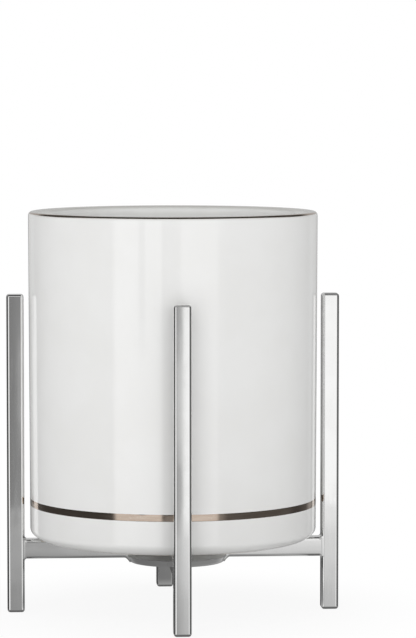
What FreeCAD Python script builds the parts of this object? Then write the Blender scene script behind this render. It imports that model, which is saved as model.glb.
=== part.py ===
import FreeCAD, Part
import math
import os

# A pen holder: a glazed ceramic cup that stands loose in a polished stand of square bar.
# Millimetres, +Z up. The origin is on the floor under the cup's axis. The legs stand on the
# X and Y axes, and the front leg is on -Y.

# ---- Cup ----
cup_height = 104.5        # from the foot to the top of the lip
lip_radius = 46.0         # outside, just under the rounded lip
draft = 0.4               # how much smaller the outside radius is at the heel
wall = 4.0                # the lip is rounded over this whole thickness
floor_thickness = 5.0
inner_corner = 8.0        # radius between the inside wall and the floor
foot_inset = 5.2          # from the outside wall in to the flat foot
heel_ease = 1.0           # how much larger the heel's sweep radius is than the foot's inset
heel_turn = 2.4           # small radius, from the sweep up into the wall
foot_width = 5.4          # the ring that the cup stands on
recess_depth = 0.8        # hollow inside the foot ring, left unglazed at its edge

# ---- Fired-on metal lustre ----
band_above_foot = 11.05   # lower edge of the band
band_width = 2.25
lip_line_inner = 32.0     # degrees round the lip, from its crown outwards
lip_line_outer = 55.0
lustre_depth = 0.3        # let into the glaze, flush with it

# ---- Stand ----
bar = 5.5                 # square bar, every leg and arm
bar_round = 0.8           # on the bar's long edges and its cut ends
leg_height = 101.6
arm_height = 17.9         # underside of the arms above the floor
leg_clearance = 1.5       # between the cup and each leg
leg_weld = 0.8            # fillet between an arm and its leg
weld_reach = 0.7          # share of bar_round that the weld fills beside a leg
hub_radius = 15.2         # underside of the hub disc
hub_flare = 1.0           # how much wider its upper edge is
hub_thickness = 2.1
hub_round = 0.6
hub_offset = 1.2          # the disc is welded on this far to the right of the cup's axis
hub_weld = 0.6            # fillet between the hub and an arm
hub_weld_depth = 0.7      # share of the hub's thickness that the fillet takes

# ---- Worked out ----
seat = arm_height + bar                     # the cup stands on top of the arms
top = seat + cup_height
heel_radius = lip_radius - draft
foot_radius = heel_radius - foot_inset
heel_sweep = foot_inset + heel_ease         # large radius, from the foot outwards
lip_round = wall / 2
lip_centre = (lip_radius - lip_round, top - lip_round)
leg_centre = lip_radius + leg_clearance + bar / 2
leg_inner_face = leg_centre - bar / 2
hub_underside = arm_height - hub_thickness

# Where each leg and arm stands, in degrees about Z from +X.
sides = {"right": 0, "back": 90, "left": 180, "front": 270}


def vec(r, z, y=0.0):
    return FreeCAD.Vector(r, y, z)


def line(a, b):
    return Part.LineSegment(vec(*a), vec(*b)).toShape()


def arc(centre, radius, start, end):
    """A round stretch in the XZ plane, with its angles in degrees from +X towards +Z."""
    def at(degrees):
        turn = math.radians(degrees)
        return vec(centre[0] + radius * math.cos(turn), centre[1] + radius * math.sin(turn))
    return Part.Arc(at(start), at((start + end) / 2), at(end)).toShape()


def turned(edges):
    """The solid that a closed outline in the XZ plane sweeps about Z."""
    face = Part.Face(Part.Wire(Part.__sortEdges__(edges)))
    return face.revolve(FreeCAD.Vector(0, 0, 0), FreeCAD.Vector(0, 0, 1), 360)


def outline(points):
    """Straight edges round a closed list of points."""
    return [line(a, b) for a, b in zip(points, points[1:] + points[:1])]


def placed(shape, degrees):
    copy = shape.copy()
    copy.rotate(FreeCAD.Vector(0, 0, 0), FreeCAD.Vector(0, 0, 1), degrees)
    return copy


def cup_blank():
    """The cup before its lustre: foot ring, swept heel, straight wall and rounded lip."""
    sweep = (foot_radius, seat + heel_sweep)
    turn_r = heel_radius - heel_turn
    drop = math.sqrt((heel_sweep - heel_turn) ** 2 - (turn_r - foot_radius) ** 2)
    turn = (turn_r, sweep[1] - drop)
    meet = math.degrees(math.atan2(turn[1] - sweep[1], turn[0] - sweep[0]))
    inside = heel_radius - wall
    inside_floor = seat + floor_thickness
    recess_top = seat + recess_depth
    ring_inner = foot_radius - foot_width
    corner = (inside - inner_corner, inside_floor + inner_corner)
    edges = [
        line((ring_inner, seat), (foot_radius, seat)),
        arc(sweep, heel_sweep, -90, meet),
        arc(turn, heel_turn, meet, 0),
        line((heel_radius, turn[1]), (lip_radius, lip_centre[1])),
        arc(lip_centre, lip_round, 0, 180),
        line((lip_radius - wall, lip_centre[1]), (inside, corner[1])),
        arc(corner, inner_corner, 0, -90),
        line((corner[0], inside_floor), (0, inside_floor)),
        line((0, inside_floor), (0, recess_top)),
        line((0, recess_top), (ring_inner - recess_depth, recess_top)),
        line((ring_inner - recess_depth, recess_top), (ring_inner, seat)),
    ]
    return turned(edges)


def band_space():
    """The ring of space at the wall's surface that the lower lustre band fills."""
    low = seat + band_above_foot
    high = low + band_width
    rise = (low - seat) / cup_height
    inner = heel_radius + draft * rise - lustre_depth
    outer = lip_radius + wall
    return turned(outline([(inner, low), (outer, low), (outer, high), (inner, high)]))


def lip_space():
    """The ring of space round the outside of the lip that the lip line fills."""
    def at(radius, from_crown):
        turn = math.radians(from_crown)
        return (lip_centre[0] + radius * math.sin(turn), lip_centre[1] + radius * math.cos(turn))
    inner = lip_round - lustre_depth
    outer = lip_round + lustre_depth
    return turned(outline([
        at(inner, lip_line_inner),
        at(outer, lip_line_inner),
        at(outer, lip_line_outer),
        at(inner, lip_line_outer),
    ]))


def leg():
    """One leg on +X: square bar with every edge rounded."""
    corner = FreeCAD.Vector(leg_inner_face, -bar / 2, 0)
    block = Part.makeBox(bar, bar, leg_height, corner)
    return block.makeFillet(bar_round, block.Edges)


def hub():
    """The disc under the arms that they are welded to."""
    rounding = (hub_radius - hub_round, hub_underside + hub_round)
    top_edge = (hub_radius + hub_flare, arm_height)
    disc = turned([
        line((0, hub_underside), (rounding[0], hub_underside)),
        arc(rounding, hub_round, -90, 0),
        line((hub_radius, rounding[1]), top_edge),
        line(top_edge, (0, arm_height)),
        line((0, arm_height), (0, hub_underside)),
    ])
    disc.translate(FreeCAD.Vector(hub_offset, 0, 0))
    return disc


def weld_beads(hub_edge):
    """The welds of one arm: above and below it at the leg, and below it at the hub's edge."""
    flat = bar - 2 * bar_round
    start = leg_inner_face - leg_weld
    low = arm_height - leg_weld
    high = seat + leg_weld
    depth = arm_height - hub_thickness * hub_weld_depth
    sections = [
        [line((start, seat), (leg_inner_face, seat)),
         line((leg_inner_face, seat), (leg_inner_face, high)),
         arc((start, high), leg_weld, 0, -90)],
        [line((start, arm_height), (leg_inner_face, arm_height)),
         line((leg_inner_face, arm_height), (leg_inner_face, low)),
         arc((start, low), leg_weld, 0, 90)],
        outline([(hub_edge - hub_round, arm_height),
                 (hub_edge - hub_round, depth),
                 (hub_edge, depth),
                 (hub_edge + hub_flare + hub_weld, arm_height)]),
    ]
    beads = []
    for edges in sections:
        face = Part.Face(Part.Wire(Part.__sortEdges__(edges)))
        face.translate(FreeCAD.Vector(0, -flat / 2, 0))
        beads.append(face.extrude(FreeCAD.Vector(0, flat, 0)))
    return beads


def arm(degrees, leg_solid, hub_solid):
    """One arm: made on +X, mitred at the middle and welded on, then turned to its side."""
    end = leg_inner_face + bar_round * weld_reach
    block = Part.makeBox(end + bar, bar, bar, FreeCAD.Vector(-bar, -bar / 2, arm_height))
    long_edges = [edge for edge in block.Edges if edge.BoundBox.XLength > bar]
    block = block.makeFillet(bar_round, long_edges)

    # The 45 degree mitre, where the four arms meet on the hub.
    corners = [(0, 0), (end + bar, -end - bar), (end + bar, end + bar), (0, 0)]
    wedge = Part.Face(Part.makePolygon([FreeCAD.Vector(x, y, arm_height) for x, y in corners]))
    block = block.common(wedge.extrude(FreeCAD.Vector(0, 0, bar)))

    hub_edge = hub_radius + hub_offset * math.cos(math.radians(degrees))
    block = block.fuse(weld_beads(hub_edge)).cut(placed(hub_solid, -degrees)).cut(leg_solid)
    return placed(block.removeSplitter(), degrees)


def build():
    cup = cup_blank()
    band = band_space()
    lip = lip_space()
    leg_solid = leg()
    hub_solid = hub()
    nodes = {
        "cup_body": cup.cut(band).cut(lip),
        "lustre_band": cup.common(band),
        "lustre_lip_line": cup.common(lip),
        "hub_disc": hub_solid,
    }
    for side, degrees in sides.items():
        nodes["leg_" + side] = placed(leg_solid, degrees)
        nodes["arm_" + side] = arm(degrees, leg_solid, hub_solid)
    return nodes


os.makedirs("parts", exist_ok=True)
for name, shape in build().items():
    solid, = shape.Solids
    print(name, round(solid.Volume, 2), solid.isValid())
    solid.exportStep("parts/" + name + ".step")
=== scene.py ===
from collections import namedtuple
import math

import bmesh
import bpy
from bpy.props import (BoolProperty, FloatProperty, FloatVectorProperty, IntProperty,
                       PointerProperty)
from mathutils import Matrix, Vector


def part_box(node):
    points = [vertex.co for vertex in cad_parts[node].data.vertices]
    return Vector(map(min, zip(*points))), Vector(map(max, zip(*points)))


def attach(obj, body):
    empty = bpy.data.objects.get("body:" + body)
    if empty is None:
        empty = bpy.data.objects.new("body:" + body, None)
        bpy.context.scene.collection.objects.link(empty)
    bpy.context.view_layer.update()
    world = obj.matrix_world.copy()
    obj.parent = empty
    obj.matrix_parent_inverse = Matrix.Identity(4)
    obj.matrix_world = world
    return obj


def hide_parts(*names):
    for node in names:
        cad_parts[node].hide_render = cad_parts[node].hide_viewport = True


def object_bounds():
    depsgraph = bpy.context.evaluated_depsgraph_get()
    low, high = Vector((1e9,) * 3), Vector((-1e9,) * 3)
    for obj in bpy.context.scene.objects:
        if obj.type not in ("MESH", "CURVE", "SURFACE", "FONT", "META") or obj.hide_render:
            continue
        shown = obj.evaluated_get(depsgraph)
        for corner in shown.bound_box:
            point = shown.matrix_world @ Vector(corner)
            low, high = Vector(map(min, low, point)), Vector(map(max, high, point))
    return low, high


bl_info = {
    "name": "Pen Cup in a Square Bar Stand",
    "version": (1, 0, 0),
    "blender": (4, 5, 0),
    "location": "View3D > Sidebar > Pen Cup",
    "description": "Builds the glazed cup, its lustre lines, the polished stand and a small studio",
    "category": "Add Mesh",
}

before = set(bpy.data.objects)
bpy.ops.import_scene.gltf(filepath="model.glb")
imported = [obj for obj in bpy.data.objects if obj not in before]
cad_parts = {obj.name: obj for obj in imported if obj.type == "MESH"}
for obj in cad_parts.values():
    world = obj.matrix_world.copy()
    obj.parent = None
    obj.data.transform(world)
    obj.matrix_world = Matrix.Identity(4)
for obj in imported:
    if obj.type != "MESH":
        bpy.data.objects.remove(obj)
cad_low, cad_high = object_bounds()

MM = 0.001
SIDES = {"front": -90.0, "right": 0.0, "back": 90.0, "left": 180.0}
CUP_LOW, CUP_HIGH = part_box("cup_body")
BAND_LOW, BAND_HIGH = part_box("lustre_band")
LEG_LOW, LEG_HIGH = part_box("leg_right")
HUB_LOW, HUB_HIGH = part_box("hub_disc")
ARM_LOW, ARM_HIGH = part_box("arm_right")

# How far under the feet the floor and the dark sheet lie, so that no two faces share a plane.
FLOOR_DROP = -0.02 * MM
SHEET_DROP = -0.01 * MM

# Where the glaze changes, with painted shade near the foot and painted light inside: the
# height or distance at which each change starts and is done.
LIP_THINS = (1.3 * MM, 0.15 * MM)         # below the top of the lip
# Painted shade: the glaze darkens a little towards the foot, where the cup shades itself.
FOOT_SHADE_FADES = (0.6 * MM, 3.0 * MM)      # above the foot
# Painted light: the paler inside colour starts here and above the next height.
INSIDE_LIGHT_STARTS = (2.8 * MM, 2.0 * MM)      # in from the outside of the lip
INSIDE_LIGHT_ABOVE = (3.0 * MM, 4.0 * MM)       # above the foot
CLAY_ENDS = (0.36 * MM, 0.44 * MM)        # above the foot

# Above the 1.5 or so of real glaze, because this glaze gleams more strongly than that gives.
GLAZE_IOR = 1.68

# Where the colour inputs and output of a mix node come, after its number and vector ones.
MIX_A, MIX_B, MIX_OUT = 6, 7, 2


# ---- Settings ----

def length(name, description, millimetres, low=0.0):
    return FloatProperty(name=name, description=description, default=millimetres * MM,
                         min=low * MM, unit="LENGTH", precision=5)


def angle(name, description, degrees):
    return FloatProperty(name=name, description=description, default=math.radians(degrees),
                         subtype="ANGLE", unit="ROTATION")


def share(name, description, value, high=1.0):
    return FloatProperty(name=name, description=description, default=value, min=0.0, max=high)


def colour(name, description, value):
    return FloatVectorProperty(name=name, description=description, default=value, size=3,
                               min=0.0, max=1.0, subtype="COLOR")


class PenCupShape(bpy.types.PropertyGroup):
    """Sizes of the glazed cup."""

    lip_radius: length("Lip Radius", "Outside radius just under the lip", CUP_HIGH.x / MM)
    draft: length("Draft", "How much smaller the wall is at the heel", 0.4)
    wall: length("Wall", "Thickness of the wall, rounded over at the lip", 4.0)
    lip_outer: length("Lip Outer Rounding", "Radius on the lip's outer edge", 1.4)
    floor_thickness: length("Floor", "Thickness of the floor", 5.0)
    inner_corner: length("Inner Corner", "Radius between inside wall and floor", 8.0)
    foot_inset: length("Foot Inset", "From the wall in to the flat foot", 5.2)
    heel_sweep: length("Heel Sweep", "Large radius of the heel", 6.2)
    heel_turn: length("Heel Turn", "Small radius of the heel", 2.4)
    foot_width: length("Foot Width", "Width of the ring it stands on", 5.4)
    recess_depth: length("Recess", "Hollow inside the foot ring", 0.8)
    foot_edge: length("Foot Edge", "Rounding on the foot ring's inner edge", 0.35)
    lip_line_inner: angle("Lip Line Inner", "Upper edge of the lip line, from the crown", 24.0)
    lip_line_outer: angle("Lip Line Outer", "Lower edge of the lip line, from the crown", 57.0)
    lip_line_spread: FloatProperty(name="Lip Line Spread", default=7.0, min=0.0, max=20.0,
                                   description="Degrees the lip line broadens by at most")
    lustre_proud: length("Lustre Proud", "How far the metal coat stands on the glaze", 0.02)
    lustre_depth: length("Lustre Depth", "How far the coat reaches into the glaze", 0.15)
    band_feather: length("Band Feather", "How far in from its edges the band is full", 0.12)
    steps_round: IntProperty(name="Steps Round", default=256, min=32, max=1024,
                             description="Faces round the cup")


class PenStandShape(bpy.types.PropertyGroup):
    """Sizes of the polished stand."""

    bar: length("Bar", "Side of the square bar", (LEG_HIGH.x - LEG_LOW.x) / MM)
    bar_round: length("Edge Rounding", "Radius on the bar's edges and ends", 0.95)
    leg_weld: length("Leg Weld", "Fillet between an arm and its leg", 0.8)
    weld_reach: share("Weld Reach", "Share of the rounding that the weld fills at a leg", 0.7)
    hub_weld: length("Hub Weld", "Fillet between the hub disc and an arm", 0.6)
    hub_weld_depth: share("Hub Weld Depth", "Share of the hub's thickness that the weld takes", 0.7)
    hub_flare: length("Hub Flare", "How much wider the hub's upper edge is", 1.0)
    hub_round: length("Hub Rounding", "Radius on the hub's lower edge", 0.6)
    corner_steps: IntProperty(name="Corner Steps", default=6, min=2, max=24,
                              description="Faces round each small rounding")


class PenCupFinish(bpy.types.PropertyGroup):
    """Colours and surface of each finish."""

    glaze: colour("Glaze", "White glaze", (0.79, 0.79, 0.782))
    # This darker colour is thin glaze at the lip and, near the foot, painted shade.
    thin_glaze_and_foot_shade: colour("Thin Glaze", "Glaze where it is thinner", (0.66, 0.65, 0.62))
    # This paler inside colour is painted light. It lifts the inside of the cup, where too little
    # light reaches, and stands for no thicker glaze.
    glaze_inside_painted_light: colour("Inside Glaze", "Glaze that pooled thicker inside", (0.91, 0.91, 0.895))
    biscuit: colour("Biscuit", "Bare fired clay on the foot ring", (0.70, 0.655, 0.58))
    lustre: colour("Lustre", "Fired-on metal lustre", (0.52, 0.427, 0.352))
    lustre_thin: colour("Thin Lustre", "Lustre where the brush left less", (0.60, 0.503, 0.427))
    steel: colour("Polished Bar", "Polished plated bar", (0.92, 0.92, 0.915))
    steel_dull: colour("Dulled Bar", "Bar where handling has dulled it", (0.87, 0.87, 0.86))
    # Painted shade: this dark colour goes on the hub's upward faces and stands for the cup's shaded
    # underside seen in them, not for an unpolished side.
    hub_top_painted_shade: colour("Weld Side", "Unpolished top of the hub disc", (0.42, 0.42, 0.41))
    glaze_gloss: share("Glaze Roughness", "Roughness of the glaze", 0.035)
    lustre_gloss: share("Lustre Roughness", "Roughness of the lustre", 0.06)
    bar_gloss: share("Bar Roughness", "Roughness of the polished bar", 0.035)


class PenCupStudio(bpy.types.PropertyGroup):
    """Camera, lamps and floor."""

    camera_place: FloatVectorProperty(name="Camera", description="Where the camera stands",
                                      default=(-0.05975, -1.0621, 0.1722), size=3,
                                      subtype="TRANSLATION", unit="LENGTH", precision=5)
    camera_heading: angle("Heading", "Turn of the camera from +Y towards +X", 3.822)
    camera_pitch: angle("Pitch", "Tilt of the camera below level", 4.234)
    camera_lens: FloatProperty(name="Lens", description="Focal length in millimetres",
                               default=188.9, min=10.0)
    sky: share("Sky", "Light from all round, at the horizon", 0.67, 5.0)
    overhead: share("Overhead", "Light from straight above", 0.38, 5.0)
    from_below: share("From Below", "Extra light off the wide table", 0.34, 5.0)
    key: share("Top Softbox", "Brightness of the softbox in front and above", 2.4, 20.0)
    front: share("Front Softboxes", "Brightness of the two beside the camera", 0.98, 20.0)
    fill_left: share("Left Fill", "Brightness of the softbox at the far left", 0.85, 20.0)
    fill_right: share("Right Fill", "Brightness of the softbox at the far right", 0.45, 20.0)
    floor_radius: length("Floor Radius", "Size of the round pale floor", 100.0)
    tent_radius: length("Flag Distance", "How far off the grey flags stand", 1500.0)
    sheet_radius: length("Sheet Radius", "Size of the dark sheet under the object", 45.0)
    show_shadow: BoolProperty(name="Floor Shadow", default=True,
                              description="Keep the object's shadow on the floor")


# ---- Mesh making ----

def arc_points(centre, radius, start, end, steps):
    """Points on an arc, both ends included, angles in degrees from +X towards +Z."""
    points = []
    for i in range(steps + 1):
        turn = math.radians(start + (end - start) * i / steps)
        points.append((centre[0] + radius * math.cos(turn), centre[1] + radius * math.sin(turn)))
    return points


def piece(name, mesh_maker, material, body, replaced, sharp=35.0):
    """Turns a bmesh into a named piece that rides on a body and stands for its CAD nodes."""
    mesh = bpy.data.meshes.new(name)
    made = mesh_maker()
    bmesh.ops.recalc_face_normals(made, faces=made.faces)
    made.to_mesh(mesh)
    made.free()
    mesh.shade_smooth()
    mesh.set_sharp_from_angle(angle=math.radians(sharp))
    mesh.materials.append(material)
    obj = bpy.data.objects.new(name, mesh)
    bpy.context.scene.collection.objects.link(obj)
    even = obj.modifiers.new("Even Normals", "WEIGHTED_NORMAL")
    even.mode = "FACE_AREA"
    even.weight = 100
    even.keep_sharp = True
    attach(obj, body)
    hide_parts(*replaced)
    return obj


def lathe(profile, steps, closed):
    """A turned surface: profile points (radius, height); radius 0 makes a pole."""
    made = bmesh.new()
    rings = []
    for radius, height in profile:
        if radius == 0.0:
            rings.append([made.verts.new((0.0, 0.0, height))])
            continue
        ring = []
        for i in range(steps):
            turn = 2 * math.pi * i / steps
            ring.append(made.verts.new((radius * math.cos(turn), radius * math.sin(turn), height)))
        rings.append(ring)
    pairs = list(zip(rings, rings[1:]))
    if closed:
        pairs.append((rings[-1], rings[0]))
    for a, b in pairs:
        for i in range(steps):
            j = (i + 1) % steps
            if len(a) == 1:
                made.faces.new((a[0], b[i], b[j]))
            elif len(b) == 1:
                made.faces.new((a[i], b[0], a[j]))
            else:
                made.faces.new((a[i], b[i], b[j], a[j]))
    return made


def loft(made, rings):
    """Faces between rings of vertices that all have the same count."""
    for a, b in zip(rings, rings[1:]):
        count = len(a)
        for i in range(count):
            j = (i + 1) % count
            made.faces.new((a[i], b[i], b[j], a[j]))


def rounded_section(half_y, low, high, rounding, steps):
    """A rounded rectangle, listed from the top middle towards +Y and round; points (y, z)."""
    quarter = []
    for i in range(steps + 1):
        turn = math.pi / 2 * i / steps
        quarter.append((half_y - rounding + rounding * math.sin(turn),
                        rounding * (1 - math.cos(turn))))
    side = [(y, high - drop) for y, drop in quarter]
    side += [(y, low + drop) for y, drop in reversed(quarter)]
    mirrored = [(-y, z) for y, z in reversed(side)]
    return [(0.0, high)] + side + [(0.0, low)] + mirrored


# ---- Shader helpers and shared effects ----

def new_material(name):
    material = bpy.data.materials.new(name)
    material.use_nodes = True
    material.node_tree.nodes.clear()
    return material, material.node_tree


def math_node(tree, operation, a, b=None, clamp=False):
    node = tree.nodes.new("ShaderNodeMath")
    node.operation = operation
    node.use_clamp = clamp
    for socket, value in zip(node.inputs, (a, b)):
        if value is None:
            continue
        if isinstance(value, bpy.types.NodeSocket):
            tree.links.new(value, socket)
        else:
            socket.default_value = value
    return node.outputs[0]


def mix_colour(tree, factor, a, b):
    node = tree.nodes.new("ShaderNodeMix")
    node.data_type = "RGBA"
    tree.links.new(factor, node.inputs["Factor"])
    for socket, value in ((node.inputs[MIX_A], a), (node.inputs[MIX_B], b)):
        if isinstance(value, bpy.types.NodeSocket):
            tree.links.new(value, socket)
        else:
            socket.default_value = (*value, 1.0)
    return node.outputs[MIX_OUT]


def ramp(tree, value, low, high, to_low=0.0, to_high=1.0):
    node = tree.nodes.new("ShaderNodeMapRange")
    node.interpolation_type = "SMOOTHSTEP"
    tree.links.new(value, node.inputs["Value"])
    for key, number in (("From Min", low), ("From Max", high),
                        ("To Min", to_low), ("To Max", to_high)):
        node.inputs[key].default_value = number
    return node.outputs["Result"]


def effect_group(name, inputs, outputs):
    """An empty node group with named inputs (name, type, default) and outputs (name, type)."""
    group = bpy.data.node_groups.new(name, "ShaderNodeTree")
    for label, kind, default in inputs:
        socket = group.interface.new_socket(name=label, in_out="INPUT", socket_type=kind)
        if default is not None:
            socket.default_value = default
    for label, kind in outputs:
        group.interface.new_socket(name=label, in_out="OUTPUT", socket_type=kind)
    return group, group.nodes.new("NodeGroupInput"), group.nodes.new("NodeGroupOutput")


def slow_wave_group():
    """Broad unevenness of a hand-glazed or hand-polished surface."""
    if "Slow Wave" in bpy.data.node_groups:
        return bpy.data.node_groups["Slow Wave"]
    group, start, end = effect_group(
        "Slow Wave",
        [("Place", "NodeSocketVector", None), ("Size", "NodeSocketFloat", 40.0),
         ("Detail", "NodeSocketFloat", 2.0), ("Strength", "NodeSocketFloat", 0.2)],
        [("Normal", "NodeSocketVector"), ("Mask", "NodeSocketFloat")])
    noise = group.nodes.new("ShaderNodeTexNoise")
    bump = group.nodes.new("ShaderNodeBump")
    bump.inputs["Distance"].default_value = MM
    links = group.links
    links.new(start.outputs["Place"], noise.inputs["Vector"])
    links.new(start.outputs["Size"], noise.inputs["Scale"])
    links.new(start.outputs["Detail"], noise.inputs["Detail"])
    links.new(start.outputs["Strength"], bump.inputs["Strength"])
    links.new(noise.outputs["Fac"], bump.inputs["Height"])
    links.new(bump.outputs["Normal"], end.inputs["Normal"])
    links.new(ramp(group, noise.outputs["Fac"], 0.35, 0.65), end.inputs["Mask"])
    return group


def fine_marks_group():
    """Fine streaks or specks, from a stretched noise cut to its peaks."""
    if "Fine Marks" in bpy.data.node_groups:
        return bpy.data.node_groups["Fine Marks"]
    group, start, end = effect_group(
        "Fine Marks",
        [("Place", "NodeSocketVector", None), ("Stretch", "NodeSocketVector", (1.0, 1.0, 1.0)),
         ("Size", "NodeSocketFloat", 400.0), ("From", "NodeSocketFloat", 0.5),
         ("To", "NodeSocketFloat", 0.7)],
        [("Mask", "NodeSocketFloat")])
    links = group.links
    stretched = group.nodes.new("ShaderNodeVectorMath")
    stretched.operation = "MULTIPLY"
    noise = group.nodes.new("ShaderNodeTexNoise")
    noise.inputs["Detail"].default_value = 3.0
    cut = group.nodes.new("ShaderNodeMapRange")
    links.new(start.outputs["Place"], stretched.inputs[0])
    links.new(start.outputs["Stretch"], stretched.inputs[1])
    links.new(stretched.outputs[0], noise.inputs["Vector"])
    links.new(start.outputs["Size"], noise.inputs["Scale"])
    links.new(noise.outputs["Fac"], cut.inputs["Value"])
    links.new(start.outputs["From"], cut.inputs["From Min"])
    links.new(start.outputs["To"], cut.inputs["From Max"])
    links.new(cut.outputs["Result"], end.inputs["Mask"])
    return group


def scaled(tree, value, amount):
    return math_node(tree, "MULTIPLY", value, amount)


def surface(tree, base, rough, normal, metal):
    """Closes a material with its own shader, metal or not, and returns the shader."""
    shader = tree.nodes.new("ShaderNodeBsdfPrincipled")
    shader.inputs["Metallic"].default_value = 1.0 if metal else 0.0
    tree.links.new(base, shader.inputs["Base Color"])
    tree.links.new(rough, shader.inputs["Roughness"])
    tree.links.new(normal, shader.inputs["Normal"])
    out = tree.nodes.new("ShaderNodeOutputMaterial")
    tree.links.new(shader.outputs[0], out.inputs["Surface"])
    return shader


def placed_group(tree, group, place, **values):
    node = tree.nodes.new("ShaderNodeGroup")
    node.node_tree = group
    tree.links.new(place, node.inputs["Place"])
    for key, value in values.items():
        node.inputs[key].default_value = value
    return node


# ---- Finishes ----

def white_glaze(look):
    """Thick white glaze, a little thinner at the lip, darker near the foot as painted shade, paler
    inside as painted light, and bare clay on the foot ring.
    """
    material, tree = new_material("White Glaze")
    links = tree.links
    place = tree.nodes.new("ShaderNodeTexCoord").outputs["Object"]
    split = tree.nodes.new("ShaderNodeSeparateXYZ")
    links.new(place, split.inputs[0])
    height = split.outputs["Z"]
    seat = CUP_LOW.z

    wave = placed_group(tree, slow_wave_group(), place, Size=22.0, Detail=1.0, Strength=0.03)
    cloud = placed_group(tree, slow_wave_group(), place, Size=60.0, Detail=3.0, Strength=0.0)
    specks = placed_group(tree, fine_marks_group(), place, Size=700.0, From=0.70, To=0.78)

    near_lip = ramp(tree, height, *(CUP_HIGH.z - below for below in LIP_THINS))
    # Painted shade: a faint darkening towards the foot. The lip's thin glaze is its own colour.
    foot_shade = ramp(tree, height, *(seat + above for above in FOOT_SHADE_FADES), 0.1, 0.0)
    thin_glaze_and_shade_mask = math_node(tree, "MAXIMUM", near_lip, foot_shade)
    thin_glaze_and_shade_mask = math_node(tree, "ADD", thin_glaze_and_shade_mask, scaled(tree, cloud.outputs["Mask"], 0.12), clamp=True)
    level_place = tree.nodes.new("ShaderNodeVectorMath")
    level_place.operation = "MULTIPLY"
    links.new(place, level_place.inputs[0])
    level_place.inputs[1].default_value = (1.0, 1.0, 0.0)
    reach = tree.nodes.new("ShaderNodeVectorMath")
    reach.operation = "LENGTH"
    links.new(level_place.outputs[0], reach.inputs[0])
    # Painted light: the inside of the cup, in from the lip and above the floor, gets the paler
    # inside colour.
    inner = ramp(tree, reach.outputs["Value"], *(CUP_HIGH.x - inwards for inwards in INSIDE_LIGHT_STARTS),
                 1.0, 0.0)
    inner = scaled(tree, inner, ramp(tree, height, *(seat + above for above in INSIDE_LIGHT_ABOVE)))
    base = mix_colour(tree, inner, look.glaze, look.glaze_inside_painted_light)
    base = mix_colour(tree, thin_glaze_and_shade_mask, base, look.thin_glaze_and_foot_shade)
    base = mix_colour(tree, scaled(tree, specks.outputs["Mask"], 0.12), base, look.biscuit)

    # The wiped foot ring: bare clay up to a slightly uneven glaze line.
    wander = scaled(tree, cloud.outputs["Mask"], 0.15 * MM)
    above = math_node(tree, "ADD", math_node(tree, "SUBTRACT", height, seat), wander)
    bare = ramp(tree, above, *CLAY_ENDS, 1.0, 0.0)
    base = mix_colour(tree, bare, base, look.biscuit)

    rough = math_node(tree, "ADD", look.glaze_gloss, scaled(tree, specks.outputs["Mask"], 0.06))
    rough = math_node(tree, "ADD", rough, scaled(tree, bare, 0.62), clamp=True)
    shader = surface(tree, base, rough, wave.outputs["Normal"], False)
    shader.inputs["IOR"].default_value = GLAZE_IOR
    return material


def dark_lustre(look):
    """Fired-on metal lustre, brushed round the cup, with thinner streaks."""
    material, tree = new_material("Dark Lustre")
    place = tree.nodes.new("ShaderNodeTexCoord").outputs["Object"]
    wave = placed_group(tree, slow_wave_group(), place, Size=90.0, Detail=2.0, Strength=0.06)
    strokes = placed_group(tree, fine_marks_group(), place, Stretch=(0.35, 0.35, 4.0),
                           Size=420.0, From=0.42, To=0.72)
    specks = placed_group(tree, fine_marks_group(), place, Size=1600.0, From=0.62, To=0.75)
    base = mix_colour(tree, strokes.outputs["Mask"], look.lustre, look.lustre_thin)
    base = mix_colour(tree, scaled(tree, specks.outputs["Mask"], 0.25), base, look.glaze)
    rough = math_node(tree, "ADD", look.lustre_gloss, scaled(tree, strokes.outputs["Mask"], 0.07))
    surface(tree, base, rough, wave.outputs["Normal"], True)
    return material


def polished_bar(look, name, stretch, shaded_top=False):
    """Polished plating over ground bar, with faint polishing lines along the bar.
    A shaded top is painted shade: its upward faces are darkened, standing for the cup's shaded
    underside reflected in them."""
    material, tree = new_material(name)
    place = tree.nodes.new("ShaderNodeTexCoord").outputs["Object"]
    wave = placed_group(tree, slow_wave_group(), place, Size=70.0, Detail=1.0, Strength=0.035)
    lines = placed_group(tree, fine_marks_group(), place, Stretch=stretch,
                         Size=900.0, From=0.45, To=0.75)
    dull = placed_group(tree, slow_wave_group(), place, Size=130.0, Detail=4.0, Strength=0.0)
    base = mix_colour(tree, scaled(tree, dull.outputs["Mask"], 0.5), look.steel, look.steel_dull)
    rough = math_node(tree, "ADD", look.bar_gloss, scaled(tree, lines.outputs["Mask"], 0.05))
    rough = math_node(tree, "ADD", rough, scaled(tree, dull.outputs["Mask"], 0.03))
    if shaded_top:
        # Painted shade: faces that point up are darkened.
        facing = tree.nodes.new("ShaderNodeNewGeometry")
        split = tree.nodes.new("ShaderNodeSeparateXYZ")
        tree.links.new(facing.outputs["True Normal"], split.inputs[0])
        top = ramp(tree, split.outputs["Z"], 0.6, 0.9)
        base = mix_colour(tree, top, base, look.hub_top_painted_shade)
        rough = math_node(tree, "ADD", rough, scaled(tree, top, 0.25))
    surface(tree, base, rough, wave.outputs["Normal"], True)
    return material


# ---- Cup pieces ----

# heel and foot are radii. sweep, turn and lip are the middles of the outline's three outer
# arcs, as (radius, height), and meet is the angle at which sweep runs into turn.
CupOutline = namedtuple("CupOutline", "heel foot sweep turn meet lip")


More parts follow.
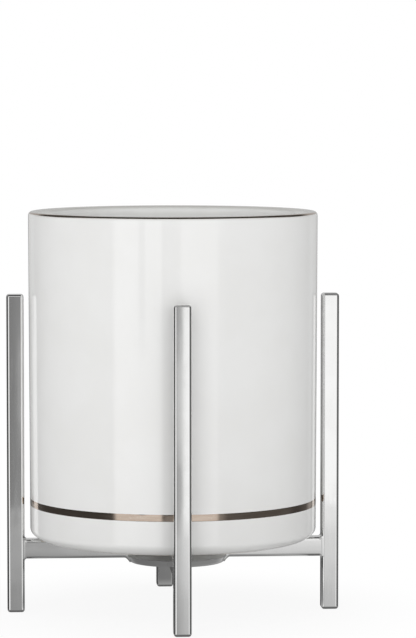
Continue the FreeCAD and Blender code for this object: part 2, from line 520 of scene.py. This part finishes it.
def cup_outline(cup):
    """The places on the cup's outline that several pieces share."""
    heel = cup.lip_radius - cup.draft
    foot = heel - cup.foot_inset
    sweep = (foot, CUP_LOW.z + cup.heel_sweep)
    turn_radius = heel - cup.heel_turn
    drop = math.sqrt((cup.heel_sweep - cup.heel_turn) ** 2 - (turn_radius - foot) ** 2)
    turn = (turn_radius, sweep[1] - drop)
    meet = math.degrees(math.atan2(turn[1] - sweep[1], turn[0] - sweep[0]))
    lip = (cup.lip_radius - cup.lip_outer, CUP_HIGH.z - cup.lip_outer)
    return CupOutline(heel, foot, sweep, turn, meet, lip)


def wall_radius(cup, height):
    """The outside radius of the wall, which leans out evenly from heel to lip."""
    outline = cup_outline(cup)
    along = (height - outline.turn[1]) / (outline.lip[1] - outline.turn[1])
    return outline.heel + cup.draft * along


def cup_profile(cup):
    """From the middle underneath, out over the foot ring, up the wall, over the lip and in."""
    outline = cup_outline(cup)
    seat, top = CUP_LOW.z, CUP_HIGH.z
    turn, lip = outline.turn, outline.lip
    recess = seat + cup.recess_depth
    ring = outline.foot - cup.foot_width
    edge = cup.foot_edge
    inside = outline.heel - cup.wall
    floor = seat + cup.floor_thickness
    corner = (inside - cup.inner_corner, floor + cup.inner_corner)
    flat_steps = 6
    points = [(ring * k / flat_steps, recess) for k in range(flat_steps)]
    points += [(ring - cup.recess_depth, recess)]
    points += arc_points((ring + edge, seat + edge), edge, 180 + 45, 270, 4)
    points += arc_points(outline.sweep, cup.heel_sweep, -90, outline.meet, 14)
    points += arc_points(turn, cup.heel_turn, outline.meet, 0, 8)[1:]
    rows = 24
    for k in range(1, rows + 1):
        height = turn[1] + (lip[1] - turn[1]) * k / rows
        points.append((wall_radius(cup, height), height))
    points += arc_points(lip, cup.lip_outer, 0, 90, 12)[1:]
    inner_round = cup.wall - cup.lip_outer
    points += arc_points((lip[0], top - inner_round), inner_round, 90, 180, 14)[1:]
    inner_top = (cup.lip_radius - cup.wall, top - inner_round)
    for k in range(1, rows):
        part = k / rows
        points.append((inner_top[0] + (inside - inner_top[0]) * part,
                       inner_top[1] + (corner[1] - inner_top[1]) * part))
    points += arc_points(corner, cup.inner_corner, 0, -90, 12)
    points += [(corner[0] * (1 - k / flat_steps), floor) for k in range(1, flat_steps + 1)]
    return points


class PENCUP_OT_cup_body(bpy.types.Operator):
    """Turns the glazed cup: foot ring, swept heel, wall, rounded lip and inside"""

    bl_idname = "pencup.cup_body"
    bl_label = "Cup Body"

    def execute(self, context):
        scene = context.scene
        cup = scene.pen_cup_shape
        if cup.wall * 2 >= cup.lip_radius:
            raise RuntimeError("the cup's wall leaves no room inside")
        glaze = white_glaze(scene.pen_cup_finish)
        piece("cup_glazed", lambda: lathe(cup_profile(cup), cup.steps_round, False),
              glaze, "cup", ["cup_body"], sharp=50.0)
        return {"FINISHED"}


# Where round the lip the brush was fullest, and how far each full stretch reaches, in degrees.
BRUSH_FULL = (-39.0, -145.0, 80.0, 150.0)
BRUSH_REACH = 15.0


def brush_load(degrees):
    """How full the brush was, from 0 to 1, at one place round the lip."""
    load = 0.0
    for full in BRUSH_FULL:
        away = (degrees - full + 180.0) % 360.0 - 180.0
        load = max(load, math.exp(-(away / BRUSH_REACH) ** 2))
    return load


def band_profile(cup):
    """The band's section, which follows the wall and is feathered at both edges."""
    low, high = BAND_LOW.z, BAND_HIGH.z
    full_low, full_high = low + cup.band_feather, high - cup.band_feather
    rows = 6
    outer = []
    for k in range(rows + 1):
        height = full_low + (full_high - full_low) * k / rows
        outer.append((wall_radius(cup, height) + cup.lustre_proud, height))
    edges = []
    for height in (low, high):
        wall = wall_radius(cup, height)
        edges.append([(wall - cup.lustre_depth, height), (wall - cup.lustre_proud / 2, height)])
    return edges[0] + outer + edges[1][::-1]


def lip_ring(cup):
    """The lip line: a ring whose width follows the brush."""
    made = bmesh.new()
    centre = cup_outline(cup).lip
    start = 90 - math.degrees(cup.lip_line_outer)
    end = 90 - math.degrees(cup.lip_line_inner)
    feather = 2.0
    sections = []
    for i in range(cup.steps_round):
        turn = 2 * math.pi * i / cup.steps_round
        wide = cup.lip_line_spread * brush_load(math.degrees(turn))
        low, high = start - wide, end + wide / 2
        skin = arc_points(centre, cup.lip_outer + cup.lustre_proud, low + feather,
                          high - feather, 8)
        back = arc_points(centre, cup.lip_outer - cup.lustre_depth, high, low, 4)
        sections.append([made.verts.new((r * math.cos(turn), r * math.sin(turn), z))
                         for r, z in skin + back])
    loft(made, sections + sections[:1])
    return made


class PENCUP_OT_lustre(bpy.types.Operator):
    """Lays the two fired-on metal lines: the band above the heel and the line on the lip"""

    bl_idname = "pencup.lustre"
    bl_label = "Lustre Lines"

    def execute(self, context):
        scene = context.scene
        cup = scene.pen_cup_shape
        lustre = dark_lustre(scene.pen_cup_finish)
        piece("lustre_band_ring", lambda: lathe(band_profile(cup), cup.steps_round, True),
              lustre, "cup", ["lustre_band"], sharp=60.0)
        piece("lustre_lip_ring", lambda: lip_ring(cup), lustre, "cup", ["lustre_lip_line"],
              sharp=60.0)
        return {"FINISHED"}


# ---- Stand pieces ----

def leg_mesh(stand, degrees):
    """One upright: a rounded square section lofted up, drawn in at both ends."""
    made = bmesh.new()
    half = stand.bar / 2
    rounding = stand.bar_round
    steps = stand.corner_steps
    least_rounding = 0.01 * MM
    middle = (LEG_LOW.x + LEG_HIGH.x) / 2
    low, high = LEG_LOW.z, LEG_HIGH.z
    levels = []
    for i in range(steps + 1):
        turn = math.pi / 2 * i / steps
        levels.append((rounding * (1 - math.sin(turn)), low + rounding * (1 - math.cos(turn))))
    span = 40
    levels += [(0.0, low + rounding + (high - low - 2 * rounding) * k / span)
               for k in range(1, span)]
    for i in range(steps + 1):
        turn = math.pi / 2 * (1 - i / steps)
        levels.append((rounding * (1 - math.sin(turn)), high - rounding * (1 - math.cos(turn))))
    turn = math.radians(degrees)
    cos, sin = math.cos(turn), math.sin(turn)
    rings = []
    for inset, height in levels:
        size = half - inset
        corner = max(rounding - inset, least_rounding)
        section = rounded_section(size, -size, size, corner, steps)
        ring = []
        for y, x in section:
            px, py = middle + x, y
            ring.append(made.verts.new((px * cos - py * sin, px * sin + py * cos, height)))
        rings.append(ring)
    loft(made, rings)
    made.faces.new(rings[0])
    made.faces.new(list(reversed(rings[-1])))
    return made


def arm_mesh(stand, degrees, hub_edge):
    """One arm: mitred at the middle, its underside dropping to the hub weld and its ends
    swelling into the leg welds."""
    made = bmesh.new()
    half = stand.bar / 2
    rounding = stand.bar_round
    steps = stand.corner_steps
    low, high = ARM_LOW.z + stand.leg_weld, ARM_HIGH.z - stand.leg_weld
    face = LEG_LOW.x
    start = face - stand.leg_weld
    spacing = 4 * MM
    weld_end = hub_edge + stand.hub_flare + stand.hub_weld
    weld_steps = 6
    weld_hollow = 1.6
    drop = (HUB_HIGH.z - HUB_LOW.z) * stand.hub_weld_depth

    # Each station is (distance from the middle, rise of the top, drop of the underside).
    stations = [(spacing * k, 0.0, 0.0) for k in range(4)]
    stations += [(hub_edge - stand.hub_round, 0.0, drop), (hub_edge, 0.0, drop)]
    for k in range(1, weld_steps + 1):
        part = k / weld_steps
        stations.append((hub_edge + (weld_end - hub_edge) * part, 0.0,
                         drop * (1 - part) ** weld_hollow))
    count = 10
    for k in range(1, count + 1):
        stations.append((weld_end + (start - weld_end) * k / count, 0.0, 0.0))
    for k in range(1, weld_steps + 1):
        turn = math.pi / 2 * k / weld_steps
        along = stand.leg_weld * math.sin(turn)
        rise = stand.leg_weld * (1 - math.cos(turn))
        stations.append((start + along, rise, rise))
    stations.append((face + rounding * stand.weld_reach, stand.leg_weld, stand.leg_weld))
    turn = math.radians(degrees)
    cos, sin = math.cos(turn), math.sin(turn)

    def vertex(s, y, z):
        return made.verts.new((s * cos - y * sin, s * sin + y * cos, z))

    rings = []
    for s, rise, fall in stations:
        section = rounded_section(half, low - fall, high + rise, rounding, steps)
        rings.append([vertex(max(s, abs(y)), y, z) for y, z in section])
    loft(made, rings)
    made.faces.new(list(reversed(rings[-1])))

    # The mitre: two flat faces that meet on the arm's middle line.
    first = rings[0]
    total = len(first)
    bottom = total // 2
    spine = {0: first[0], bottom: first[bottom]}
    for i in range(1, bottom):
        spine[i] = vertex(0.0, 0.0, first[i].co.z)
    for i in range(bottom):
        right = [first[i], first[i + 1], spine[i + 1], spine[i]]
        left = [first[-i % total], spine[i], spine[i + 1], first[-(i + 1) % total]]
        for loop in (right, left):
            unique = []
            for vert in loop:
                if vert not in unique:
                    unique.append(vert)
            if len(unique) > 2:
                made.faces.new(unique)
    bmesh.ops.remove_doubles(made, verts=made.verts, dist=1e-7)
    return made


# How finely the polishing lines repeat along a bar, against 1 across it.
ALONG_BAR = 0.06


class PENCUP_OT_legs(bpy.types.Operator):
    """Stands the four rounded legs on the floor"""

    bl_idname = "pencup.legs"
    bl_label = "Legs"

    def execute(self, context):
        scene = context.scene
        stand = scene.pen_stand_shape
        steel = polished_bar(scene.pen_cup_finish, "Polished Leg", (1.0, 1.0, ALONG_BAR))
        for side, degrees in SIDES.items():
            piece("leg_bar_" + side, lambda: leg_mesh(stand, degrees), steel,
                  "stand", ["leg_" + side], sharp=50.0)
        return {"FINISHED"}


class PENCUP_OT_arms(bpy.types.Operator):
    """Lays the four arms from the middle out to the legs, with their welds"""

    bl_idname = "pencup.arms"
    bl_label = "Arms"

    def execute(self, context):
        scene = context.scene
        stand = scene.pen_stand_shape
        hub_middle = (HUB_LOW.x + HUB_HIGH.x) / 2
        hub_radius = (HUB_HIGH.x - HUB_LOW.x) / 2 - stand.hub_flare
        for side, degrees in SIDES.items():
            along = (ALONG_BAR, 1.0, 1.0) if side in ("left", "right") else (1.0, ALONG_BAR, 1.0)
            steel = polished_bar(scene.pen_cup_finish, "Polished Arm " + side, along)
            hub_edge = hub_radius + hub_middle * math.cos(math.radians(degrees))
            piece("arm_bar_" + side, lambda: arm_mesh(stand, degrees, hub_edge), steel,
                  "stand", ["arm_" + side], sharp=40.0)
        return {"FINISHED"}


class PENCUP_OT_hub(bpy.types.Operator):
    """Turns the flared disc that ties the arms together underneath"""

    bl_idname = "pencup.hub"
    bl_label = "Hub Disc"

    def execute(self, context):
        scene = context.scene
        stand = scene.pen_stand_shape
        steel = polished_bar(scene.pen_cup_finish, "Polished Disc", (1.0, 1.0, 1.0), True)
        middle = (HUB_LOW.x + HUB_HIGH.x) / 2
        wide = (HUB_HIGH.x - HUB_LOW.x) / 2
        radius = wide - stand.hub_flare
        low, high = HUB_LOW.z, HUB_HIGH.z
        rounding = stand.hub_round
        flat_steps = 5
        rim_under, rim_side, rim_top = 0.12 * MM, 0.02 * MM, 0.08 * MM
        profile = [(radius * k / flat_steps, low) for k in range(flat_steps)]
        profile += arc_points((radius - rounding, low + rounding), rounding, -90, 0, 6)
        profile += [(wide - rim_under, high - rim_under), (wide, high - rim_side)]
        profile += [(wide - rim_top, high)]
        profile += [(wide * (1 - k / flat_steps), high) for k in range(1, flat_steps + 1)]

        def made():
            disc = lathe(profile, 128, False)
            bmesh.ops.translate(disc, verts=disc.verts, vec=Vector((middle, 0.0, 0.0)))
            return disc

        piece("hub_plate", made, steel, "stand", ["hub_disc"], sharp=50.0)
        return {"FINISHED"}


# ---- Studio ----

# How bright the room round the object looks in a reflection. Every angle here is in degrees,
# either round from the camera's side, to the right, or up from level. A pair is where a change
# starts and is done. Level 1 is the white backdrop, seen between the grey flags, and this list
# is (round, level) at eye height.
ROOM_LEVELS = [
    (-180.0, 0.20), (-170.0, 0.24), (-160.0, 0.48), (-150.0, 0.45), (-136.0, 0.12),
    (-122.0, 0.07), (-60.0, 0.07), (-49.0, 0.09), (-44.0, 1.0), (-9.5, 1.0), (-7.5, 0.15),
    (0.0, 0.20), (3.0, 0.26), (6.2, 0.46), (7.2, 0.95), (10.0, 1.0), (33.0, 1.0),
    (37.5, 0.35), (44.0, 0.15), (52.0, 0.13), (100.0, 0.13), (116.0, 0.08), (132.0, 0.13),
    (144.0, 0.42), (160.0, 0.48), (170.0, 0.24), (180.0, 0.20),
]

# A dark upright in the gap on the left, and a lit patch straight ahead.
UPRIGHT, UPRIGHT_SIDES, UPRIGHT_FOOT, UPRIGHT_DARK = -24.0, (1.5, 3.5), (-5.0, -3.0), 0.7
PATCH, PATCH_FOOT, PATCH_TOP, PATCH_LIGHT = (2.0, 7.0), (-6.6, -6.2), (-4.6, -3.0), 0.18

# The far left is dimmer low down, the far side pale above eye height, and both dark high up.
FAR_LEFT, FAR_LEFT_FOOT, FAR_LEFT_LOW = -140.0, (-8.4, -6.5), 0.4
FAR_SIDE, FAR_SIDE_ABOVE, FAR_SIDE_PALE = 150.0, (2.0, 4.5), 0.55
BEHIND, BEHIND_MIDDLE, BEHIND_DARK = 120.0, (156.0, 164.0), 0.04
BEHIND_TOP, BEHIND_FADE = (22.0, 44.0), 6.0

# The table ahead: its far edge, its levels from left to right, and two darker steps nearer in.
TABLE_MIDDLE, TABLE_SIDES = 4.0, (9.0, 11.0)
TABLE_EDGE = (8.5, 8.9)
TABLE_LEFT, TABLE_RIGHT, TABLE_CHANGE = 0.41, 0.74, (2.0, 9.0)
TABLE_STEPS = ((0.10, (8.8, 10.2)), (0.18, (10.3, 10.8)))

# What lies below and above: (level, pair), downwards and then upwards.
BELOW = ((0.3, (12.0, 22.0)), (0.13, (26.0, 45.0)))
ABOVE, ABOVE_REACH = (0.1, (20.0, 36.0)), 156.0
ZENITH = (0.07, (56.0, 66.0))

# The softbox above the camera, as gloss sees it.
WINDOW_MIDDLE, WINDOW_REACH, WINDOW_FOOT, WINDOW_TOP = -4.0, 70.0, (38.0, 43.0), (52.0, 57.0)


def smooth(ends, value):
    """0 before the pair, 1 after it, and an even curve between."""
    low, high = ends
    part = min(1.0, max(0.0, (value - low) / (high - low)))
    return part * part * (3 - 2 * part)


def toward(level, goal, amount):
    return level + (goal - level) * amount


def flag_level(around):
    """Brightness at eye height."""
    for (a, level_a), (b, level_b) in zip(ROOM_LEVELS, ROOM_LEVELS[1:]):
        if a <= around <= b:
            return toward(level_a, level_b, smooth((a, b), around))
    raise RuntimeError("the list of flags leaves a gap in the room")


def table_level(around, up):
    steps = sum(darker * smooth(ends, -up) for darker, ends in TABLE_STEPS)
    return toward(TABLE_LEFT, TABLE_RIGHT, smooth(TABLE_CHANGE, around)) * (1 - steps)


def room_level(around, up):
    """Brightness of the room in one direction, both angles in degrees."""
    level = flag_level(around)
    level -= (UPRIGHT_DARK * smooth(UPRIGHT_FOOT, up)
              * (1 - smooth(UPRIGHT_SIDES, abs(around - UPRIGHT))))
    if PATCH[0] < around < PATCH[1]:
        level += PATCH_LIGHT * smooth(PATCH_FOOT, up) * (1 - smooth(PATCH_TOP, up))
    if around < FAR_LEFT:
        level *= toward(FAR_LEFT_LOW, 1.0, smooth(FAR_LEFT_FOOT, up))
    if abs(around) > FAR_SIDE:
        level = toward(level, FAR_SIDE_PALE, smooth(FAR_SIDE_ABOVE, up))
    if abs(around) > BEHIND:
        top = toward(*BEHIND_TOP, smooth(BEHIND_MIDDLE, abs(around)))
        level = toward(level, BEHIND_DARK, smooth((top, top + BEHIND_FADE), up))
    ahead = 1 - smooth(TABLE_SIDES, abs(around - TABLE_MIDDLE))
    level = toward(level, table_level(around, up), ahead * smooth(TABLE_EDGE, -up))
    for goal, ends in BELOW:
        level = toward(level, goal, smooth(ends, -up))
    if abs(around) < ABOVE_REACH:
        level = toward(level, ABOVE[0], smooth(ABOVE[1], up))
    if abs(around - WINDOW_MIDDLE) < WINDOW_REACH:
        level = toward(level, 1.0, smooth(WINDOW_FOOT, up) * (1 - smooth(WINDOW_TOP, up)))
    level = toward(level, ZENITH[0], smooth(ZENITH[1], up))
    return min(1.0, max(0.0, level))


def see_through_levels(name, floor_level):
    """A grey flag, open to the white backdrop where its level is 1."""
    material, tree = new_material(name)
    level = tree.nodes.new("ShaderNodeAttribute")
    level.attribute_name = "level"
    openness = tree.nodes.new("ShaderNodeMapRange")
    tree.links.new(level.outputs["Fac"], openness.inputs["Value"])
    openness.inputs["From Min"].default_value = floor_level
    grey = tree.nodes.new("ShaderNodeEmission")
    grey.inputs["Color"].default_value = (floor_level, floor_level, floor_level, 1.0)
    clear = tree.nodes.new("ShaderNodeBsdfTransparent")
    mixed = tree.nodes.new("ShaderNodeMixShader")
    tree.links.new(openness.outputs["Result"], mixed.inputs[0])
    tree.links.new(grey.outputs[0], mixed.inputs[1])
    tree.links.new(clear.outputs[0], mixed.inputs[2])
    out = tree.nodes.new("ShaderNodeOutputMaterial")
    tree.links.new(mixed.outputs[0], out.inputs["Surface"])
    return material


def grey_levels(name):
    """A solid grey card, as bright as its level says."""
    material, tree = new_material(name)
    level = tree.nodes.new("ShaderNodeAttribute")
    level.attribute_name = "level"
    grey = tree.nodes.new("ShaderNodeEmission")
    tree.links.new(level.outputs["Fac"], grey.inputs["Color"])
    out = tree.nodes.new("ShaderNodeOutputMaterial")
    tree.links.new(grey.outputs[0], out.inputs["Surface"])
    return material


def only_in_gloss(name, made, levels, material):
    """A staged sheet with a level at each vertex, which lights nothing and only gloss sees."""
    mesh = bpy.data.meshes.new(name)
    made.to_mesh(mesh)
    made.free()
    attribute = mesh.attributes.new("level", "FLOAT", "POINT")
    attribute.data.foreach_set("value", levels)
    mesh.materials.append(material)
    sheet = bpy.data.objects.new(name, mesh)
    bpy.context.scene.collection.objects.link(sheet)
    sheet.visible_camera = False
    sheet.visible_diffuse = False
    sheet.visible_transmission = False
    sheet.visible_shadow = False
    sheet.visible_volume_scatter = False
    return sheet


def flag_tent(radius, camera_side):
    """Grey flags all round the object, out of the camera's view, that only gloss can see."""
    made = bmesh.new()
    ups = [-88.0, -70.0, -60.0, -50.0, -45.0, -40.0, -35.0, -30.0, -25.0, -20.0, -16.0, -13.0]
    ups += [k / 5 for k in range(-60, 1)]     # close together, where the table's edge shows
    ups += [5.0, 10.0, 15.0, 20.0, 24.0, 28.0, 32.0, 36.0, 38.0, 40.0, 42.0, 44.0, 48.0,
            52.0, 54.0, 56.0, 58.0, 61.0, 64.0, 67.0, 70.0, 76.0, 82.0, 88.0]
    rows = []
    levels = []
    middle = (cad_low.z + cad_high.z) / 2
    for up in ups:
        row = []
        flat = radius * math.cos(math.radians(up))
        height = middle + radius * math.sin(math.radians(up))
        for around in range(-180, 180):
            turn = camera_side + math.radians(around)
            row.append(made.verts.new((flat * math.sin(turn), -flat * math.cos(turn), height)))
            levels.append(room_level(around, up))
        rows.append(row)
    loft(made, rows)
    made.faces.new(rows[-1])
    made.faces.new(rows[0])
    return only_in_gloss("flag_tent", made, levels, see_through_levels("Grey Flags", 0.02))


def disc_mesh(radius, steps, rows):
    """A flat disc on the floor, with its vertices ring by ring from the middle outwards."""
    made = bmesh.new()
    rings = []
    for k in range(1, rows + 1):
        ring = []
        for i in range(steps):
            turn = 2 * math.pi * i / steps
            reach = radius * k / rows
            ring.append(made.verts.new((reach * math.cos(turn), reach * math.sin(turn), 0.0)))
        rings.append(ring)
    loft(made, rings)
    made.faces.new(rings[0])
    return made


# The dark sheet's level from left to right, and how it darkens towards the middle: a painted
# shadow of the object on the floor, as gloss sees it.
SHEET_LEVELS, SHEET_ACROSS = (0.30, 0.55), (-50 * MM, 62 * MM)
SHEET_DARKENS, SHEET_RINGS = (0.48, 0.88), (28 * MM, 48 * MM)


def foot_sheet(radius):
    """A dark sheet under the middle of the object that only gloss can see: painted shadow, standing
    for the floor's shade under the object.
    """
    made = disc_mesh(radius, 96, 24)
    levels = []
    for vert in made.verts:
        level = toward(*SHEET_LEVELS, smooth(SHEET_ACROSS, vert.co.x))
        levels.append(level * toward(*SHEET_DARKENS, smooth(SHEET_RINGS, vert.co.length)))
    return only_in_gloss("foot_sheet", made, levels, grey_levels("Grey Sheet"))


def seen_white(tree):
    """1 for a ray that shows the backdrop: from the camera, in gloss or through glass."""
    path = tree.nodes.new("ShaderNodeLightPath")
    seen = math_node(tree, "MAXIMUM", path.outputs["Is Camera Ray"], path.outputs["Is Glossy Ray"])
    return math_node(tree, "MAXIMUM", seen, path.outputs["Is Transmission Ray"])


def pale_floor(studio):
    """A round pale floor that keeps the shadow and fades into the white backdrop."""
    material, tree = new_material("Pale Floor")
    links = tree.links
    place = tree.nodes.new("ShaderNodeTexCoord").outputs["Object"]
    distance = tree.nodes.new("ShaderNodeVectorMath")
    distance.operation = "LENGTH"
    links.new(place, distance.inputs[0])
    fade_starts, fade_ends = 0.35 * studio.floor_radius, 0.98 * studio.floor_radius
    far = ramp(tree, distance.outputs["Value"], fade_starts, fade_ends)
    grain = placed_group(tree, fine_marks_group(), place, Size=300.0, From=0.3, To=0.7)
    base = mix_colour(tree, grain.outputs["Mask"], (0.90, 0.90, 0.90), (0.88, 0.88, 0.88))
    matt = tree.nodes.new("ShaderNodeBsdfDiffuse")
    links.new(base, matt.inputs["Color"])
    white = tree.nodes.new("ShaderNodeEmission")
    mixed = tree.nodes.new("ShaderNodeMixShader")
    near_white = 0.9 if studio.show_shadow else 1.0
    blend = math_node(tree, "ADD", scaled(tree, far, 1 - near_white), near_white)
    links.new(scaled(tree, blend, seen_white(tree)), mixed.inputs[0])
    links.new(matt.outputs[0], mixed.inputs[1])
    links.new(white.outputs[0], mixed.inputs[2])
    out = tree.nodes.new("ShaderNodeOutputMaterial")
    links.new(mixed.outputs[0], out.inputs["Surface"])
    return material


# Each lamp: name, its setting, degrees round from the camera's side and up, metres off, size.
SOFTBOXES = (
    ("top_softbox", "key", -4.0, 50.0, 1.25, (1.5, 0.30)),
    ("left_softbox", "front", -24.0, 10.0, 1.1, (0.55, 0.9)),
    ("right_softbox", "front", 22.0, 10.0, 1.1, (0.55, 0.9)),
    ("fill_left", "fill_left", -85.0, 0.0, 1.1, (0.9, 0.9)),
    ("fill_right", "fill_right", 85.0, 0.0, 1.1, (0.9, 0.9)),
)


def softbox(name, brightness, around, up, distance, size, camera_side):
    """A rectangular lamp that faces the object. Brightness is what its face looks like."""
    lamp = bpy.data.lights.new(name, "AREA")
    lamp.shape = "RECTANGLE"
    lamp.size, lamp.size_y = size
    lamp.energy = brightness * math.pi * size[0] * size[1]
    obj = bpy.data.objects.new(name, lamp)
    turn = camera_side + math.radians(around)
    lift = math.radians(up)
    aim = Vector((0.0, 0.0, (cad_low.z + cad_high.z) / 2))
    out = Vector((math.sin(turn) * math.cos(lift), -math.cos(turn) * math.cos(lift),
                  math.sin(lift)))
    obj.location = aim + out * distance
    obj.rotation_euler = out.to_track_quat("Z", "Y").to_euler()
    obj.visible_camera = False
    obj.visible_glossy = False
    bpy.context.scene.collection.objects.link(obj)


def lay_floor(scene, studio):
    made = disc_mesh(studio.floor_radius, 96, 12)
    bmesh.ops.recalc_face_normals(made, faces=made.faces)
    mesh = bpy.data.meshes.new("floor")
    made.to_mesh(mesh)
    made.free()
    mesh.materials.append(pale_floor(studio))
    floor = bpy.data.objects.new("floor", mesh)
    floor.location.z = FLOOR_DROP
    floor.visible_glossy = False
    scene.collection.objects.link(floor)


def hang_backdrop(scene, studio):
    """White wherever it is seen. What it lights with falls off upwards, as in a studio."""
    world = bpy.data.worlds.new("White Backdrop")
    world.use_nodes = True
    tree = world.node_tree
    tree.nodes.clear()
    split = tree.nodes.new("ShaderNodeSeparateXYZ")
    tree.links.new(tree.nodes.new("ShaderNodeTexCoord").outputs["Generated"], split.inputs[0])
    light = tree.nodes.new("ShaderNodeBackground")
    above = ramp(tree, split.outputs["Z"], 0.0, 0.9, studio.sky, studio.overhead)
    below = ramp(tree, split.outputs["Z"], -0.3, 0.0, studio.from_below, 0.0)
    tree.links.new(math_node(tree, "ADD", above, below), light.inputs["Strength"])
    white = tree.nodes.new("ShaderNodeBackground")
    for shade in (light, white):
        shade.inputs["Color"].default_value = (1.0, 1.0, 1.0, 1.0)
    mixed = tree.nodes.new("ShaderNodeMixShader")
    tree.links.new(seen_white(tree), mixed.inputs[0])
    tree.links.new(light.outputs[0], mixed.inputs[1])
    tree.links.new(white.outputs[0], mixed.inputs[2])
    out = tree.nodes.new("ShaderNodeOutputWorld")
    tree.links.new(mixed.outputs[0], out.inputs["Surface"])
    scene.world = world


def place_camera(scene, studio):
    lens = bpy.data.cameras.new("camera")
    lens.lens = studio.camera_lens
    lens.sensor_width = 36.0
    lens.clip_start, lens.clip_end = 0.01, 20.0
    camera = bpy.data.objects.new("camera", lens)
    camera.location = studio.camera_place
    camera.rotation_euler = (math.pi / 2 - studio.camera_pitch, 0.0, -studio.camera_heading)
    scene.collection.objects.link(camera)
    scene.camera = camera


class PENCUP_OT_stage(bpy.types.Operator):
    """Sets the floor, backdrop, flags, softboxes and camera"""

    bl_idname = "pencup.stage"
    bl_label = "Studio"

    def execute(self, context):
        scene = context.scene
        studio = scene.pen_cup_studio
        camera_side = math.atan2(studio.camera_place[0], -studio.camera_place[1])
        if studio.tent_radius <= Vector(studio.camera_place).length:
            raise RuntimeError("the grey flags would stand in front of the camera")
        lay_floor(scene, studio)
        flag_tent(studio.tent_radius, camera_side)
        foot_sheet(studio.sheet_radius).location.z = SHEET_DROP
        for name, setting, *place in SOFTBOXES:
            softbox(name, getattr(studio, setting), *place, camera_side)
        hang_backdrop(scene, studio)
        place_camera(scene, studio)
        scene.view_settings.view_transform = "Standard"
        return {"FINISHED"}


# ---- Panel and registration ----

class VIEW3D_PT_pen_cup(bpy.types.Panel):
    """Lists the pieces and their settings"""

    bl_label = "Pen Cup"
    bl_idname = "VIEW3D_PT_pen_cup"
    bl_space_type = "VIEW_3D"
    bl_region_type = "UI"
    bl_category = "Pen Cup"

    def draw(self, context):
        scene = context.scene
        for title, group, operators in (
            ("Cup", scene.pen_cup_shape, (PENCUP_OT_cup_body, PENCUP_OT_lustre)),
            ("Stand", scene.pen_stand_shape, (PENCUP_OT_legs, PENCUP_OT_arms, PENCUP_OT_hub)),
            ("Finish", scene.pen_cup_finish, ()),
            ("Studio", scene.pen_cup_studio, (PENCUP_OT_stage,)),
        ):
            box = self.layout.box()
            box.label(text=title)
            for name in group.__annotations__:
                box.prop(group, name)
            for operator in operators:
                box.operator(operator.bl_idname)


GROUPS = {
    "pen_cup_shape": PenCupShape,
    "pen_stand_shape": PenStandShape,
    "pen_cup_finish": PenCupFinish,
    "pen_cup_studio": PenCupStudio,
}
OPERATORS = (PENCUP_OT_cup_body, PENCUP_OT_lustre, PENCUP_OT_legs, PENCUP_OT_arms,
             PENCUP_OT_hub, PENCUP_OT_stage)
CLASSES = (*GROUPS.values(), *OPERATORS, VIEW3D_PT_pen_cup)


def register():
    for cls in CLASSES:
        bpy.utils.register_class(cls)
    for name, group in GROUPS.items():
        setattr(bpy.types.Scene, name, PointerProperty(type=group))


def unregister():
    for name in GROUPS:
        delattr(bpy.types.Scene, name)
    for cls in reversed(CLASSES):
        bpy.utils.unregister_class(cls)


def main():
    register()
    bpy.ops.pencup.cup_body()
    bpy.ops.pencup.lustre()
    bpy.ops.pencup.legs()
    bpy.ops.pencup.arms()
    bpy.ops.pencup.hub()
    bpy.ops.pencup.stage()


if __name__ == "__main__":
    main()
